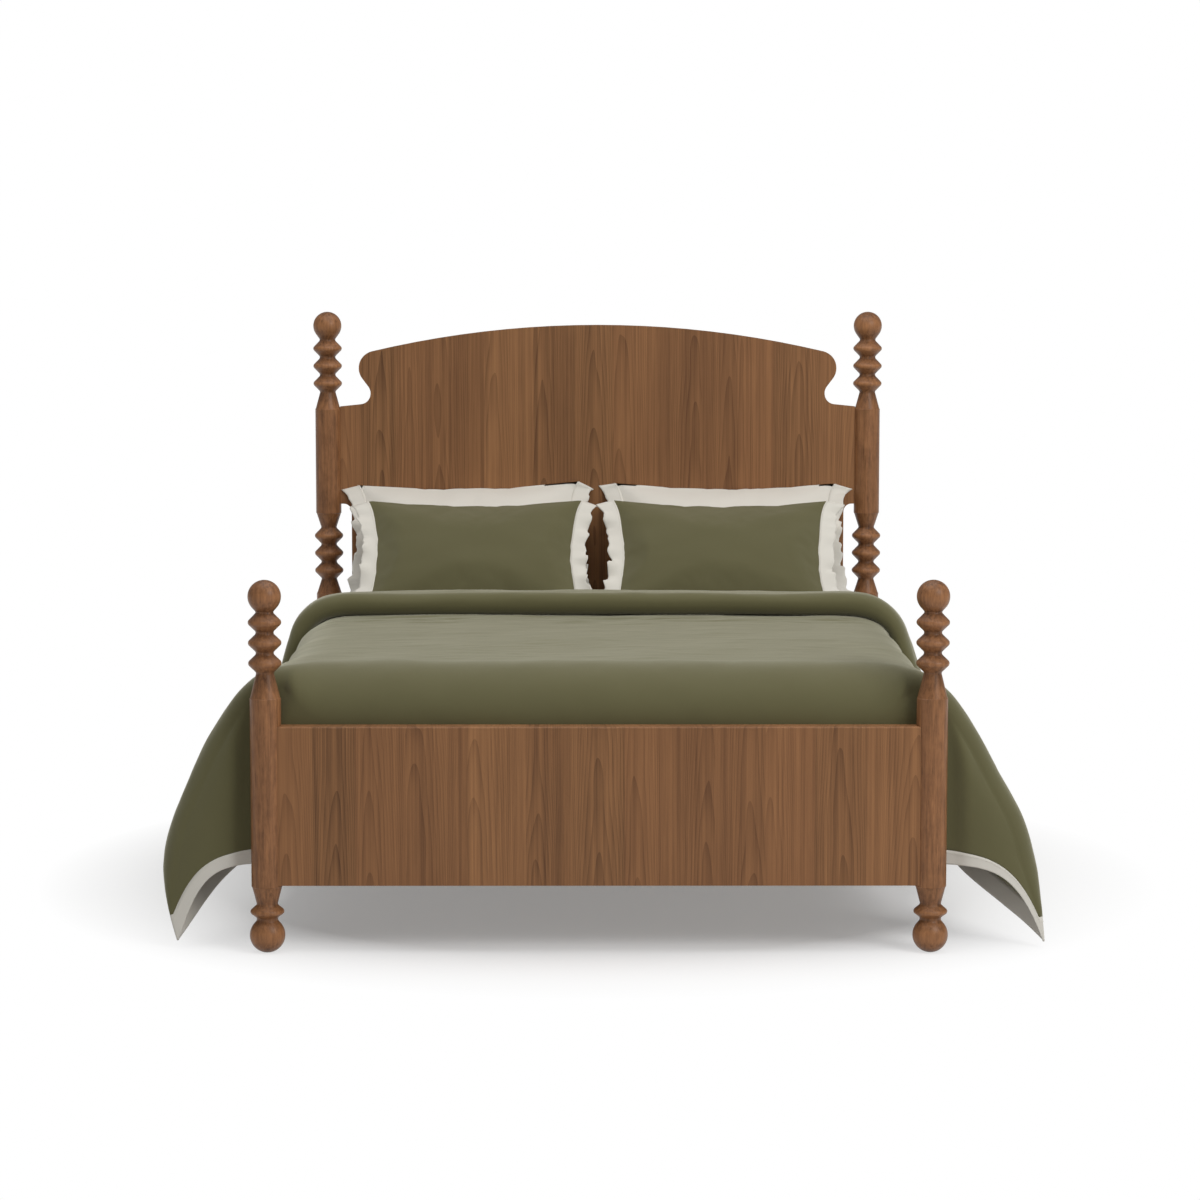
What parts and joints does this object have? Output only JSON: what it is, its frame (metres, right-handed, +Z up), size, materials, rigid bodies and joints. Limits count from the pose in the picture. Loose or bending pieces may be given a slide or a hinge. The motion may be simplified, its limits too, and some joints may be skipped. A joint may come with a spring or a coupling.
{
  "type": "panel bed",
  "caption": "Queen panel bed with bead-turned posts, arched scrolled headboard and plain footboard, slatted base, mattress, pillows and duvet",
  "frame": {"origin": "on the floor under the middle of the bed frame, at the pad of the middle leg's leveller", "axes": "+X to the right seen from the foot of the bed, +Y from the foot towards the headboard, +Z up"},
  "size_m": [2.1271, 2.1764, 1.4868],
  "materials": {
    "turned_walnut": "satin",
    "walnut_veneer": "satin",
    "pale_softwood": "matte",
    "black_steel": "satin",
    "zinc_steel": "satin",
    "ticking": "matte",
    "duvet_cotton": "matte",
    "pillow_cotton": "matte",
    "cream_cotton": "matte"
  },
  "bodies": {
    "frame": {"front_foot_left": "turned_walnut", "front_leg_left": "turned_walnut", "front_finial_left": "turned_walnut", "rear_foot_left": "turned_walnut", "rear_leg_left": "turned_walnut", "rear_spindle_left": "turned_walnut", "rear_post_left": "turned_walnut", "rear_finial_left": "turned_walnut", "front_foot_right": "turned_walnut", "front_leg_right": "turned_walnut", "front_finial_right": "turned_walnut", "rear_foot_right": "turned_walnut", "rear_leg_right": "turned_walnut", "rear_spindle_right": "turned_walnut", "rear_post_right": "turned_walnut", "rear_finial_right": "turned_walnut", "headboard_panel": "walnut_veneer", "footboard_panel": "walnut_veneer", "side_rail_left": "walnut_veneer", "side_rail_right": "walnut_veneer", "slat_ledger_left": "pale_softwood", "slat_ledger_right": "pale_softwood", "centre_rail": "pale_softwood", "centre_leg_middle": "pale_softwood", "centre_leg_head": "pale_softwood", "slat_01": "pale_softwood", "slat_02": "pale_softwood", "slat_03": "pale_softwood", "slat_04": "pale_softwood", "slat_05": "pale_softwood", "slat_06": "pale_softwood", "slat_07": "pale_softwood", "slat_08": "pale_softwood", "slat_09": "pale_softwood", "slat_10": "pale_softwood", "slat_11": "pale_softwood", "slat_12": "pale_softwood", "slat_13": "pale_softwood", "centre_rail_hanger_foot": "black_steel", "centre_rail_hanger_head": "black_steel", "corner_plate_front_left": "black_steel", "corner_plate_front_right": "black_steel", "corner_plate_rear_left": "black_steel", "corner_plate_rear_right": "black_steel", "bracket_bolts": "zinc_steel"},
    "leveller_middle": {"leveller_middle": "zinc_steel"},
    "leveller_head": {"leveller_head": "zinc_steel"},
    "mattress": {"mattress": "ticking"},
    "duvet": {"duvet": "duvet_cotton"},
    "back_pillow_left": {"back_pillow_left": "cream_cotton"},
    "front_pillow_left": {"front_pillow_left": "pillow_cotton"},
    "back_pillow_right": {"back_pillow_right": "cream_cotton"},
    "front_pillow_right": {"front_pillow_right": "pillow_cotton"}
  },
  "joints": [
    {"name": "leveller_middle_screw", "type": "slide", "parent": "frame", "child": "leveller_middle", "axis": [0, 0, 1], "range_m": [0, 0.01]},
    {"name": "leveller_head_screw", "type": "slide", "parent": "frame", "child": "leveller_head", "axis": [0, 0, 1], "range_m": [0, 0.01]},
    {"name": "mattress_lift", "type": "slide", "parent": "frame", "child": "mattress", "axis": [0, 0, 1], "range_m": [0, 0.4]},
    {"name": "duvet_lift", "type": "slide", "parent": "mattress", "child": "duvet", "axis": [0, 0, 1], "range_m": [0, 0.4]},
    {"name": "back_pillow_left_lift", "type": "slide", "parent": "mattress", "child": "back_pillow_left", "axis": [0, 0, 1], "range_m": [0, 0.3]},
    {"name": "front_pillow_left_lift", "type": "slide", "parent": "back_pillow_left", "child": "front_pillow_left", "axis": [0, 0, 1], "range_m": [0, 0.3]},
    {"name": "back_pillow_right_lift", "type": "slide", "parent": "mattress", "child": "back_pillow_right", "axis": [0, 0, 1], "range_m": [0, 0.3]},
    {"name": "front_pillow_right_lift", "type": "slide", "parent": "back_pillow_right", "child": "front_pillow_right", "axis": [0, 0, 1], "range_m": [0, 0.3]}
  ]
}
